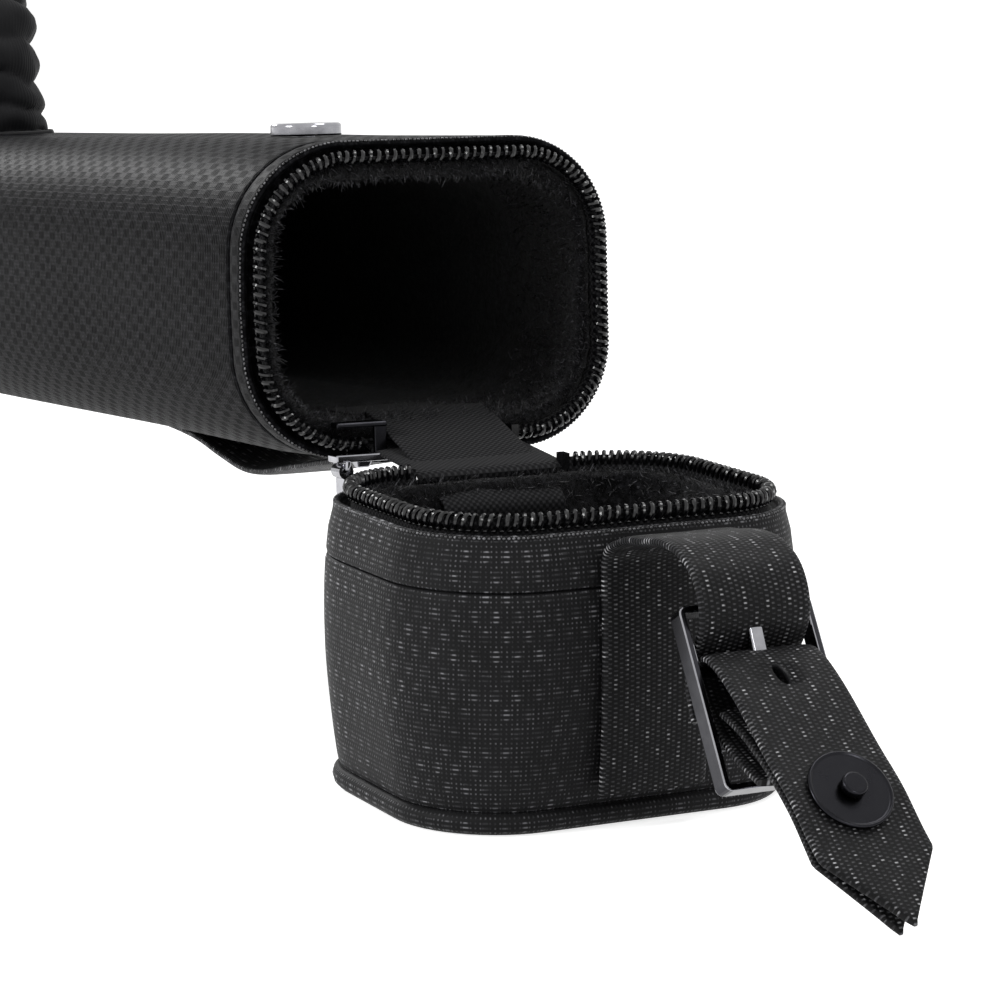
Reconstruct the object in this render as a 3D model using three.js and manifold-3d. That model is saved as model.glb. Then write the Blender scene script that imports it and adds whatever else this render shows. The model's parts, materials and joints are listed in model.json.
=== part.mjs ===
// Cue case: a padded box-section tube with a zip-on lid, shown with the lid open.
// Millimetres. +X runs along the tube towards its mouth, +Z is up.
import * as THREE from "three";
import { mergeVertices } from "three/addons/utils/BufferGeometryUtils.js";
import Module from "manifold-3d";

const wasm = await Module();
wasm.setup();

// ---- Driving dimensions ----
const tubeLength = 820;
const caseWidth = 76;
const caseHeight = 60;
const cornerRadius = 20;
const lidDepth = 52;

const coverWall = 1.2;
const boardWall = 2.8;
const liningWall = 1.6;
const gap = 0.3; // left between pieces that touch
const tubeBand = 7; // leather edge band at the mouth
const lidBand = 9.5;
const bandLip = 1.4; // how thick the band is where it turns over the edge
const bandLipReach = 1.7; // how far it turns in past the cover
const pipingProud = 0.6; // past the end face
const pipingOverhang = 1.2; // past the sides
const pipingHeight = 4.2;
const endBoard = 3;
const padThickness = 4;

const coilRise = 3.5; // top of the zip coil above the lip
const coilStand = 0.4; // bottom of the coil above the lip
const coilInset = 2.2; // from the case's outside to the coil's outside
const coilWidth = 2.5;
const tapeWall = 0.6;
const hingeHalf = 16; // half the length of the fabric hinge between the zip's ends
const sliderWeb = 1.2; // web of the slider, which runs between the two coils
const zipGap = 2 * coilRise + sliderWeb + 2 * gap; // between the two lips when the lid is shut

const hingeDrop = 6.1; // hinge line below the tube's underside
const hingeReach = 12.9; // hinge line ahead of the mouth
const flapWall = 1;
const webbingWidth = 25;
const webbingWall = 0.9;

const strapWidth = 21;
const strapWall = 1.8;
const tongueWall = 1.6;
const tonguePoint = 14; // length of the tongue's pointed end
const snapRadius = 7.3;
const snapSetback = 61; // snap centre behind the mouth
const strapShift = 1.5; // the strap and its snap lie this far beyond the middle, in Y
const snapTurn = 48.1; // degrees above level that the snap's stud faces
const snapHeight = 2.6;
const snapBore = 2.6; // radius of the socket's hole
const studRadius = 2.2;
const studRise = 1.4;
const shankRadius = 1.9;
const rivetRadius = 1.2;
const rivetClearance = 0.3;

const frameHeadroom = 10.5; // buckle's centre bar to its top bar
const frameLegroom = 20; // buckle's centre bar to its bottom bar
const frameStrip = 1.2;
const frameDepth = 3.6;
const barRadius = 0.9;
const prongWall = 1.4;
const prongWidth = 2.4;

const handleSetback = 245; // front of the handle behind the mouth
const handleLength = 180;
const handleHeight = 50;
const handleWidth = 26;
const handleThickness = 20;
const handleBend = 24; // centre-line radius of its shoulders
const handleWebWidth = 18;
const handleWebWall = 3;
const handleStart = 13; // where the sleeve starts above the tube
const handlePatch = 32;

const loopLength = 141;
const frontLoopSag = 7.4; // how far the loop under the mouth hangs at its lowest
const rearLoopSag = 4.2; // the rear one lies flatter, clear of the floor
const loopSetback = 9;

const sliderLength = 11;
const plateWall = 1.4;
const tabLength = 20;
const tabWall = 1;

// ---- Colours ----
const leather = { color: 0x1d1d1e, roughness: 0.5, metalness: 0 };
const strapLeather = { color: 0x202021, roughness: 0.5, metalness: 0 };
const boardGrey = { color: 0x6a6058, roughness: 0.9, metalness: 0 };
const plush = { color: 0x0b0b0c, roughness: 1, metalness: 0 };
const nylon = { color: 0x121213, roughness: 0.4, metalness: 0 };
const fabric = { color: 0x141415, roughness: 0.9, metalness: 0 };
const foam = { color: 0x2a2a2c, roughness: 1, metalness: 0 };
const nickel = { color: 0xc4c4c6, roughness: 0.2, metalness: 1 };
const gunmetal = { color: 0x34353a, roughness: 0.3, metalness: 1 };

// ---- Helpers ----
const meshes = {};

function add(parent, name, geometry, finish) {
  const mesh = new THREE.Mesh(geometry, new THREE.MeshStandardMaterial(finish));
  mesh.name = name;
  meshes[name] = mesh;
  parent.add(mesh);
  return mesh;
}

function toSolid(geometry) {
  const plain = geometry.clone();
  plain.deleteAttribute("normal");
  plain.deleteAttribute("uv");
  const merged = mergeVertices(plain, 1e-4);
  return new wasm.Manifold(new wasm.Mesh({
    numProp: 3,
    vertProperties: new Float32Array(merged.attributes.position.array),
    triVerts: new Uint32Array(merged.index.array),
  }));
}

function toGeometry(solid) {
  const data = solid.getMesh();
  const geometry = new THREE.BufferGeometry();
  geometry.setAttribute("position", new THREE.BufferAttribute(data.vertProperties.slice(), 3));
  geometry.setIndex(new THREE.BufferAttribute(data.triVerts.slice(), 1));
  geometry.computeVertexNormals();
  return geometry;
}

function join(first, ...others) {
  let solid = toSolid(first);
  for (const other of others) solid = solid.add(toSolid(other));
  return toGeometry(solid);
}

function cut(first, ...tools) {
  let solid = toSolid(first);
  for (const tool of tools) solid = solid.subtract(toSolid(tool));
  return toGeometry(solid);
}

function boxBetween(low, high) {
  const size = high.map((value, i) => value - low[i]);
  const box = new THREE.BoxGeometry(...size);
  box.translate(...low.map((value, i) => value + size[i] / 2));
  return box;
}

// A cylinder along Z from one height to another.
function postZ(radius, x, y, z0, z1, sides = 20) {
  const post = new THREE.CylinderGeometry(radius, radius, z1 - z0, sides);
  post.rotateX(Math.PI / 2);
  post.translate(x, y, (z0 + z1) / 2);
  return post;
}

// A cylinder along X, or along Y, centred on a point.
function barX(radius, length, x, y, z, sides = 16) {
  const bar = new THREE.CylinderGeometry(radius, radius, length, sides);
  bar.rotateZ(Math.PI / 2);
  bar.translate(x, y, z);
  return bar;
}

function barY(radius, length, x, y, z, sides = 16) {
  const bar = new THREE.CylinderGeometry(radius, radius, length, sides);
  bar.translate(x, y, z);
  return bar;
}

const unitX = new THREE.Vector3(1, 0, 0);
const unitY = new THREE.Vector3(0, 1, 0);
const unitZ = new THREE.Vector3(0, 0, 1);

// Traces the case's section, drawn in by an inset, on a Shape or a Path.
// Across the section u is Y and v is Z, with the underside at v = 0.
function traceSection(path, inset) {
  const halfWidth = caseWidth / 2 - inset;
  const low = inset;
  const high = caseHeight - inset;
  const radius = cornerRadius - inset;
  path.moveTo(-halfWidth + radius, low);
  path.lineTo(halfWidth - radius, low);
  path.absarc(halfWidth - radius, low + radius, radius, -Math.PI / 2, 0, false);
  path.lineTo(halfWidth, high - radius);
  path.absarc(halfWidth - radius, high - radius, radius, 0, Math.PI / 2, false);
  path.lineTo(-halfWidth + radius, high);
  path.absarc(-halfWidth + radius, high - radius, radius, Math.PI / 2, Math.PI, false);
  path.lineTo(-halfWidth, low + radius);
  path.absarc(-halfWidth + radius, low + radius, radius, Math.PI, Math.PI * 1.5, false);
  return path;
}

function ringShape(outerInset, innerInset) {
  const shape = traceSection(new THREE.Shape(), outerInset);
  shape.holes.push(traceSection(new THREE.Path(), innerInset));
  return shape;
}

// Extrudes a section shape along X between two places.
function alongX(shape, x0, x1, options = {}) {
  const start = Math.min(x0, x1);
  const geometry = new THREE.ExtrudeGeometry(shape, {
    depth: Math.abs(x1 - x0),
    bevelEnabled: false,
    curveSegments: 6,
    ...options,
  });
  geometry.applyMatrix4(new THREE.Matrix4().makeBasis(unitY, unitZ, unitX));
  geometry.translate(start, 0, 0);
  return geometry;
}

// A ring that is left open along the fabric hinge, at the underside.
function openRing(outerInset, innerInset, x0, x1) {
  const ring = alongX(ringShape(outerInset, innerInset), x0, x1);
  const low = Math.min(x0, x1) - 1;
  const high = Math.max(x0, x1) + 1;
  return cut(ring, boxBetween([low, -hingeHalf, -1], [high, hingeHalf, innerInset + 2]));
}

// A flat strip of even thickness that follows points in the XZ plane, centred on Y = 0.
function strip(points, thickness, width, steps = 28) {
  const curve = new THREE.CatmullRomCurve3(
    points.map(([x, z]) => new THREE.Vector3(x, z, 0)), false, "centripetal");
  const left = [];
  const right = [];
  for (let i = 0; i <= steps; i += 1) {
    const place = curve.getPointAt(i / steps);
    const along = curve.getTangentAt(i / steps);
    const side = new THREE.Vector2(-along.y, along.x).multiplyScalar(thickness / 2);
    left.push(new THREE.Vector2(place.x + side.x, place.y + side.y));
    right.push(new THREE.Vector2(place.x - side.x, place.y - side.y));
  }
  const shape = new THREE.Shape([...left, ...right.reverse()]);
  const geometry = new THREE.ExtrudeGeometry(shape, { depth: width, bevelEnabled: false });
  geometry.applyMatrix4(new THREE.Matrix4().makeBasis(unitX, unitZ, unitY.clone().negate()));
  geometry.translate(0, width / 2, 0);
  return geometry;
}

// Cuts a strip's end to a point. The tip is in the XZ plane and angle is the strip's
// direction there, in radians above +X.
function pointed(geometry, tip, angle, length, width) {
  const tools = [1, -1].map((side) => {
    const far = width;
    const outline = new THREE.Shape([
      new THREE.Vector2(-length, side * width / 2),
      new THREE.Vector2(0, 0),
      new THREE.Vector2(far, 0),
      new THREE.Vector2(far, side * far),
      new THREE.Vector2(-length, side * far),
    ]);
    const wedge = new THREE.ExtrudeGeometry(outline, { depth: 2 * width, bevelEnabled: false });
    wedge.translate(0, 0, -width);
    wedge.rotateY(-angle);
    wedge.translate(tip[0], 0, tip[1]);
    return wedge;
  });
  return cut(geometry, ...tools);
}

function lathe(profile, sides = 24) {
  const points = profile.map(([radius, height]) => new THREE.Vector2(radius, height));
  const geometry = new THREE.LatheGeometry(points, sides);
  geometry.rotateX(Math.PI / 2);
  return geometry;
}

// ---- Where the assembly stands ----
// The lid stands on its end with its mouth up, and the tube leans on it: its front end
// is carried by the hinge and its rear edge touches the floor.
const hingeBelowRim = hingeReach - zipGap;
const hingeHeight = lidDepth + pipingProud - hingeBelowRim;
const leanReach = Math.hypot(tubeLength + hingeReach, hingeDrop - pipingOverhang);
const lean = Math.asin(hingeHeight / leanReach)
  + Math.atan2(hingeDrop - pipingOverhang, tubeLength + hingeReach);

const caseGroup = new THREE.Group();
const tube = new THREE.Group();
tube.rotation.y = -lean;
caseGroup.add(tube);

// The lid is drawn shut on the tube and then turned open about the hinge line.
const lidOpenAngle = Math.PI / 2 + lean;
const lidTurn = new THREE.Group();
lidTurn.position.set(hingeReach, 0, -hingeDrop);
lidTurn.rotation.y = lidOpenAngle;
tube.add(lidTurn);
const lid = new THREE.Group();
lid.position.set(-hingeReach, 0, hingeDrop);
lidTurn.add(lid);

// ---- The two halves of the case ----
const boardInset = coverWall + gap;
const liningInset = boardInset + boardWall + gap;
const insideInset = liningInset + liningWall;

// Makes one half, with its lip at a place on X and its closed end a length further on.
function caseHalf(parent, prefix, lip, direction, length, band) {
  const at = (depth) => lip + direction * depth;
  const boardFront = bandLip + gap;
  const pipingFront = length + pipingProud - pipingHeight;
  const boardEnd = length - coverWall - gap;
  const endBoardFront = boardEnd - endBoard;
  const padFront = endBoardFront - gap - padThickness;

  const cover = alongX(ringShape(0, coverWall), at(band + gap), at(pipingFront - gap));
  const board = alongX(ringShape(boardInset, boardInset + boardWall), at(boardFront), at(boardEnd));
  const lining = alongX(ringShape(liningInset, insideInset), at(0.2), at(endBoardFront - gap));
  add(parent, `${prefix}_cover`, cover, leather);
  add(parent, `${prefix}_board`, board, boardGrey);
  add(parent, `${prefix}_lining`, lining, plush);

  const bandRing = alongX(ringShape(0, coverWall), at(0), at(band));
  const lipRing = alongX(ringShape(coverWall / 2, coverWall + bandLipReach), at(0), at(bandLip));
  add(parent, `${prefix}_edge_band`, join(bandRing, lipRing), leather);

  const tapeInset = coverWall + bandLipReach + gap;
  const tape = openRing(tapeInset, tapeInset + tapeWall, at(bandLip), at(-0.1));
  const coil = openRing(coilInset, coilInset + coilWidth, at(-coilStand), at(-coilRise));
  add(parent, `${prefix}_zip_tape`, tape, fabric);
  add(parent, `${prefix}_zip_coil`, coil, nylon);

  const stopLength = 1.8;
  const stopStart = hingeHalf - stopLength;
  const stop = boxBetween(
    [Math.min(at(-coilStand), at(-coilRise)), stopStart, coilInset],
    [Math.max(at(-coilStand), at(-coilRise)), hingeHalf - gap, coilInset + coilWidth]);
  add(parent, `${prefix}_zip_stop`, stop, nickel);

  const pipingEdge = 0.9;
  const pipingRounding = {
    bevelEnabled: true,
    bevelSize: pipingEdge,
    bevelThickness: pipingEdge,
    bevelSegments: 2,
    curveSegments: 5,
  };
  const pipingRing = ringShape(pipingEdge - pipingOverhang, coverWall - pipingEdge);
  const pipingStart = at(pipingFront + pipingEdge);
  const pipingEnd = at(length + pipingProud - pipingEdge);
  const piping = alongX(pipingRing, pipingStart, pipingEnd, pipingRounding);
  add(parent, `${prefix}_piping`, piping, leather);
  const plate = (inset, from, to) =>
    alongX(traceSection(new THREE.Shape(), inset), at(from), at(to));
  add(parent, `${prefix}_end_cover`, plate(boardInset, length - coverWall, length), leather);
  add(parent, `${prefix}_end_board`, plate(liningInset, endBoardFront, boardEnd), boardGrey);
  add(parent, `${prefix}_end_pad`, plate(insideInset + gap, padFront, endBoardFront - gap), foam);
}

caseHalf(tube, "tube", 0, -1, tubeLength, tubeBand);
caseHalf(lid, "lid", zipGap, 1, lidDepth, lidBand);

// ---- Snap socket on the tube's top ----
const snapX = -snapSetback;
const socketBase = caseHeight + gap;
const shankHole = shankRadius + gap;
const shankRise = 0.9; // of its tip inside the socket
const washerRadius = 4.5;
const washerWall = 0.8;
const shankFoot = caseHeight - boardInset - boardWall - gap;
const socketEdge = 0.6;
const socket = lathe([
  [snapBore, 0],
  [snapRadius, 0],
  [snapRadius, snapHeight - socketEdge],
  [snapRadius - socketEdge, snapHeight],
  [snapBore + socketEdge, snapHeight],
  [snapBore, snapHeight - socketEdge],
  [snapBore, 0],
]);
socket.translate(snapX, strapShift, socketBase);
add(tube, "snap_socket", socket, nickel);

const shank = lathe([
  [0, -washerWall],
  [washerRadius, -washerWall],
  [washerRadius, 0],
  [shankRadius, 0],
  [shankRadius, socketBase + shankRise - shankFoot],
  [0, socketBase + shankRise - shankFoot],
], 20);
shank.translate(snapX, strapShift, shankFoot);
add(tube, "snap_shank", shank, nickel);

const shankTool = postZ(shankHole, snapX, strapShift, caseHeight / 2, caseHeight + 1);
const washerRecess = postZ(washerRadius + gap, snapX, strapShift,
  shankFoot - washerWall - gap, caseHeight - liningInset + 0.05);
meshes.tube_cover.geometry = cut(meshes.tube_cover.geometry, shankTool);
meshes.tube_board.geometry = cut(meshes.tube_board.geometry, shankTool);
meshes.tube_lining.geometry = cut(meshes.tube_lining.geometry, washerRecess);

// ---- Carrying handle: a gathered sleeve over a web, rising from two sewn patches ----
const handleFront = -handleSetback - handleThickness / 2;
const handleRear = -handleSetback - handleLength + handleThickness / 2;
const handleTop = caseHeight + handleHeight - handleThickness / 2;
const handle = new THREE.Group();
tube.add(handle);

function handlePath() {
  const path = new THREE.CurvePath();
  const point = (x, z) => new THREE.Vector3(x, 0, z);
  const shoulder = (corner, from, to) => path.add(new THREE.QuadraticBezierCurve3(from, corner, to));
  const foot = caseHeight + handleStart;
  const turn = handleTop - handleBend;
  path.add(new THREE.LineCurve3(point(handleFront, foot), point(handleFront, turn)));
  shoulder(point(handleFront, handleTop), point(handleFront, turn),
    point(handleFront - handleBend, handleTop));
  path.add(new THREE.LineCurve3(point(handleFront - handleBend, handleTop),
    point(handleRear + handleBend, handleTop)));
  shoulder(point(handleRear, handleTop), point(handleRear + handleBend, handleTop),
    point(handleRear, turn));
  path.add(new THREE.LineCurve3(point(handleRear, turn), point(handleRear, foot)));
  return path;
}

// The section's first axis lies along Y and its second along the bend's normal.
function sweepHandle(shape) {
  return new THREE.ExtrudeGeometry(shape, { steps: 32, extrudePath: handlePath(), curveSegments: 4 });
}

function rectangle(path, width, height) {
  path.moveTo(-width / 2, -height / 2);
  path.lineTo(width / 2, -height / 2);
  path.lineTo(width / 2, height / 2);
  path.lineTo(-width / 2, height / 2);
  path.closePath();
  return path;
}

const sleeveShape = new THREE.Shape();
sleeveShape.absellipse(0, 0, handleWidth / 2, handleThickness / 2, 0, Math.PI * 2, false, 0);
sleeveShape.holes.push(rectangle(new THREE.Path(), handleWebWidth + 2 * gap, handleWebWall + 2 * gap));
add(handle, "handle_sleeve", sweepHandle(sleeveShape), fabric);
add(handle, "handle_web", sweepHandle(rectangle(new THREE.Shape(), handleWebWidth, handleWebWall)), fabric);

const patchWall = 1.6;
const patchHalf = handlePatch / 2;
const patchBase = caseHeight + gap;
for (const [name, centre] of [["front", handleFront], ["rear", handleRear]]) {
  const patch = boxBetween([centre - patchHalf, -patchHalf, patchBase],
    [centre + patchHalf, patchHalf, patchBase + patchWall]);
  add(tube, `handle_patch_${name}`, patch, leather);
}

// ---- Loops for a shoulder strap, sewn along the underside at both ends ----
function undersideLoop(name, start, direction, loopSag) {
  const at = (share) => start + direction * share * loopLength;
  const flush = -gap - strapWall / 2;
  const low = flush - loopSag;
  const points = [
    [at(0), flush],
    [at(0.1), flush - 0.2 * loopSag],
    [at(0.27), flush - 0.66 * loopSag],
    [at(0.37), flush - 0.95 * loopSag],
    [at(0.45), low],
    [at(0.54), flush - 0.72 * loopSag],
    [at(0.65), flush - 0.32 * loopSag],
    [at(0.83), flush - 0.05 * loopSag],
    [at(1), flush],
  ];
  add(tube, name, strip(points, strapWall, strapWidth), leather);
}

undersideLoop("loop_front", -loopSetback, -1, frontLoopSag);
undersideLoop("loop_rear", -tubeLength + 3 * loopSetback, 1, rearLoopSag);

// ---- Fabric hinge and the webbing inside it ----
const flapHalf = hingeHalf - gap;
const flapPoints = [
  [0.5, -gap - flapWall / 2],
  [hingeReach / 2, -1.6],
  [hingeReach, -2.3],
  [hingeReach + 4.8, -4.4],
];
add(tube, "hinge_flap", strip(flapPoints, flapWall, 2 * flapHalf, 16), fabric);
const webbingHeight = insideInset + gap + webbingWall / 2;
const webbingSewn = 24;
add(tube, "webbing_tube_end",
  strip([[-webbingSewn, webbingHeight], [1, webbingHeight], [5, webbingHeight - 1.2]],
    webbingWall, webbingWidth, 12), fabric);
add(lid, "webbing_lid_end",
  strip([[zipGap + 2, webbingHeight], [zipGap + webbingSewn, webbingHeight]],
    webbingWall, webbingWidth, 4), fabric);

// ---- Zip slider on the tube's coil, at the near end of the hinge ----
const cornerY = -(caseWidth / 2 - cornerRadius);
const slider = new THREE.Group();
tube.add(slider);
const innerPlateInset = 6.5;
const outerPlateInset = 0.2;
const sliderHigh = -webbingWidth / 2 - gap - 0.2;
const sliderLow = sliderHigh - sliderLength;
const sliderX = [coilStand + 0.5, coilRise + 3.4];
const outerPlate = boxBetween([sliderX[0], sliderLow, outerPlateInset],
  [sliderX[1], sliderHigh, outerPlateInset + plateWall]);
const innerPlate = boxBetween([sliderX[0], sliderLow, innerPlateInset],
  [sliderX[1], sliderHigh, innerPlateInset + plateWall]);
const bridgeY = [-hingeHalf + gap + 0.2, sliderHigh];
const bridge = boxBetween([coilRise + gap, bridgeY[0], outerPlateInset + 0.1],
  [coilRise + gap + sliderWeb, bridgeY[1], innerPlateInset + 0.1]);
const bailY = cornerY - 4;
const bailDrop = 1.8;
const bailZ = outerPlateInset - bailDrop;
const bailRadius = 0.6;
const bailPosts = [sliderX[0], sliderX[1] - 0.8].map((x) =>
  boxBetween([x, bailY - 0.9, bailZ - 0.7], [x + 0.8, bailY + 0.9, outerPlateInset + 0.1]));
const bail = barX(bailRadius, sliderX[1] - sliderX[0] - 0.2, (sliderX[0] + sliderX[1]) / 2, bailY, bailZ);
add(slider, "zip_slider", join(outerPlate, innerPlate, bridge, ...bailPosts, bail), nickel);

const tabX = [sliderX[0] + 0.8 + gap, sliderX[1] - 0.8 - gap];
const tabCentre = (tabX[0] + tabX[1]) / 2;
const barrel = barX(1.5, tabX[1] - tabX[0], tabCentre, bailY, bailZ);
const tabPlate = boxBetween([tabX[0], bailY - tabWall / 2, bailZ - tabLength],
  [tabX[1], bailY + tabWall / 2, bailZ - 1]);
const tabEye = barX(bailRadius + gap, 20, tabCentre, bailY, bailZ);
add(slider, "zip_pull_tab", cut(join(barrel, tabPlate), tabEye), nickel);

// ---- Buckled strap on the lid ----
// Drawn in its own frame: X out from the lid's top face, Z up from the lid's rim.
const strap = new THREE.Group();
strap.rotation.y = -Math.PI / 2;
strap.position.set(zipGap, strapShift, caseHeight);
lid.add(strap);

const strapRoot = new THREE.Vector2(1.9, -2.3);
const strapCrest = new THREE.Vector2(22, 2);
const sewnHeight = gap + strapWall / 2;
const sewnLift = 6; // lid's base to the sewn end
const sewnLine = [
  [sewnHeight, sewnLift - lidDepth],
  [sewnHeight, strapRoot.y - 1.3],
];
add(strap, "strap_sewn", strip(sewnLine, strapWall, strapWidth, 2), strapLeather);
const crestLine = strapCrest.y - strapWall / 2;
const shoulderLine = [
  [strapRoot.x + 0.6, strapRoot.y + 0.4],
  [9.3, -0.5],
  [15.5, 0.6],
  [strapCrest.x - 0.4, crestLine],
];
add(strap, "strap_shoulder", strip(shoulderLine, strapWall, strapWidth, 14), strapLeather);

// The buckle's frame plane leans out at the bottom. Rise is measured up the frame from
// its centre bar, and lift outwards from the frame's plane.
const bar = new THREE.Vector2(36.3, -17.5);
const frameLean = THREE.MathUtils.degToRad(31);
const frameUp = new THREE.Vector2(-Math.sin(frameLean), Math.cos(frameLean));
const frameOut = new THREE.Vector2(Math.cos(frameLean), Math.sin(frameLean));
const onFrame = (lift, rise) => [
  bar.x + lift * frameOut.x + rise * frameUp.x,
  bar.y + lift * frameOut.y + rise * frameUp.y,
];

const prongPoints = [];
for (let degrees = -150; degrees <= 20; degrees += 17) {
  const turn = THREE.MathUtils.degToRad(degrees);
  const radius = barRadius + gap + 0.1 + prongWall / 2;
  prongPoints.push(onFrame(radius * Math.cos(turn), radius * Math.sin(turn)));
}
const prongTip = frameHeadroom + 0.7;
prongPoints.push(onFrame(frameDepth / 2 + gap + prongWall / 2, prongTip));
add(strap, "buckle_prong", strip(prongPoints, prongWall, prongWidth, 26), nickel);

const frameInnerHalf = strapWidth / 2 + 0.9;
const frameShape = rectangle(new THREE.Shape(), 2 * (frameInnerHalf + frameStrip),
  frameHeadroom + frameLegroom + frameStrip);
frameShape.holes.push(rectangle(new THREE.Path(), 2 * frameInnerHalf,
  frameHeadroom + frameLegroom - frameStrip));
const frameRing = new THREE.ExtrudeGeometry(frameShape, { depth: frameDepth, bevelEnabled: false });
frameRing.translate(0, (frameHeadroom - frameLegroom) / 2, -frameDepth / 2);
frameRing.applyMatrix4(new THREE.Matrix4().makeBasis(
  unitY,
  new THREE.Vector3(frameUp.x, 0, frameUp.y),
  new THREE.Vector3(frameOut.x, 0, frameOut.y)));
frameRing.translate(bar.x, 0, bar.y);
const centreBar = barY(barRadius, 2 * frameInnerHalf + frameStrip, bar.x, 0, bar.y);
add(strap, "buckle_frame", join(frameRing, centreBar), gunmetal);

const prongSlotHalf = prongWidth / 2 + 0.5;
const strapLine = [
  [strapCrest.x + 0.4, crestLine],
  [27.2, 0.6],
  [32.2, -1.6],
  [35, -5.7],
  [35.5, -10],
  [33.9, -13.8],
  [31.6, -17.9],
  [31.9, -22.4],
  [33.7, -26.4],
];
const strapSlot = boxBetween([29.5, -prongSlotHalf, -15], [42, prongSlotHalf, -7]);
add(strap, "strap_drop", cut(strip(strapLine, strapWall, strapWidth), strapSlot), strapLeather);

const tongueLine = [
  [54.4, -31.8],
  [49.2, -30.2],
  [43.2, -27.7],
  [38.3, -24.3],
  [35.3, -20.9],
  [34, -18.3],
  [34.7, -16.1],
  [36.7, -15.2],
  [39.3, -15.6],
  [43, -17.3],
  [48.4, -20.8],
  [56.6, -27],
  [64.4, -32.5],
  [71.8, -39],
  [84.5, -48.4],
];
const tongueTip = tongueLine[tongueLine.length - 1];
const tongueDrop = -Math.atan2(9.4, 12.7);
const tongueSlot = boxBetween([32.2, -prongSlotHalf, -20.4], [46, prongSlotHalf, -13.4]);
const snapPlace = [64.4, -32.5];

// Turns a piece that stands on Z so that it stands on the tongue's outside at the snap.
function placeOnTongue(geometry, lift) {
  geometry.translate(0, 0, lift);
  geometry.rotateY(THREE.MathUtils.degToRad(90 - snapTurn));
  geometry.translate(snapPlace[0], 0, snapPlace[1]);
  return geometry;
}

const rivetHole = () => placeOnTongue(postZ(rivetRadius + rivetClearance, 0, 0, -12, 12), 0);
const tongueWrap = pointed(strip(tongueLine, tongueWall, strapWidth, 46),
  tongueTip, tongueDrop, tonguePoint, strapWidth);
add(strap, "tongue_front", cut(tongueWrap, tongueSlot, rivetHole()), strapLeather);

const backingLine = [
  [41.6, -23.4],
  [48, -25.3],
  [55.2, -28.9],
  [63.1, -34.3],
  [70, -40.8],
  [80.6, -50.9],
];
const backing = pointed(strip(backingLine, tongueWall, strapWidth - 1, 30),
  backingLine[backingLine.length - 1], -Math.atan2(10.1, 10.6), tonguePoint, strapWidth);
add(strap, "tongue_back", cut(backing, rivetHole()), strapLeather);

// ---- Snap on the tongue: a plate and stud that meet the socket, riveted to a washer ----
const plateThickness = 0.8;
const plateBase = tongueWall / 2 + gap;
const plateBore = rivetRadius + rivetClearance;
const plateEdge = 0.3;
const snapPlate = lathe([
  [plateBore, 0],
  [snapRadius, 0],
  [snapRadius, plateThickness - plateEdge],
  [snapRadius - plateEdge, plateThickness],
  [plateBore, plateThickness],
  [plateBore, 0],
]);
add(strap, "snap_plate", placeOnTongue(snapPlate, plateBase), gunmetal);

const washerTop = -(2 * tongueWall + 3 * gap);
const rivetFoot = washerTop - washerWall;
const studBase = plateBase + plateThickness + gap;
const stud = lathe([
  [0, rivetFoot],
  [rivetRadius, rivetFoot],
  [rivetRadius, studBase],
  [studRadius, studBase],
  [studRadius, studBase + studRise - plateEdge],
  [studRadius - plateEdge, studBase + studRise],
  [0, studBase + studRise],
], 20);
add(strap, "snap_stud", placeOnTongue(stud, 0), nickel);

const tongueWasher = lathe([
  [plateBore, rivetFoot],
  [washerRadius, rivetFoot],
  [washerRadius, washerTop],
  [plateBore, washerTop],
  [plateBore, rivetFoot],
]);
add(strap, "tongue_washer", placeOnTongue(tongueWasher, 0), nickel);

// ---- Origin: the middle of the whole case's footprint, on the floor ----
caseGroup.updateMatrixWorld(true);
const extent = new THREE.Box3().setFromObject(caseGroup, true);
const middle = extent.getCenter(new THREE.Vector3());
caseGroup.position.set(-middle.x, -middle.y, -extent.min.z);
const model = new THREE.Group();
model.add(caseGroup);

export default model;
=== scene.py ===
import json
import math
import random

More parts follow.
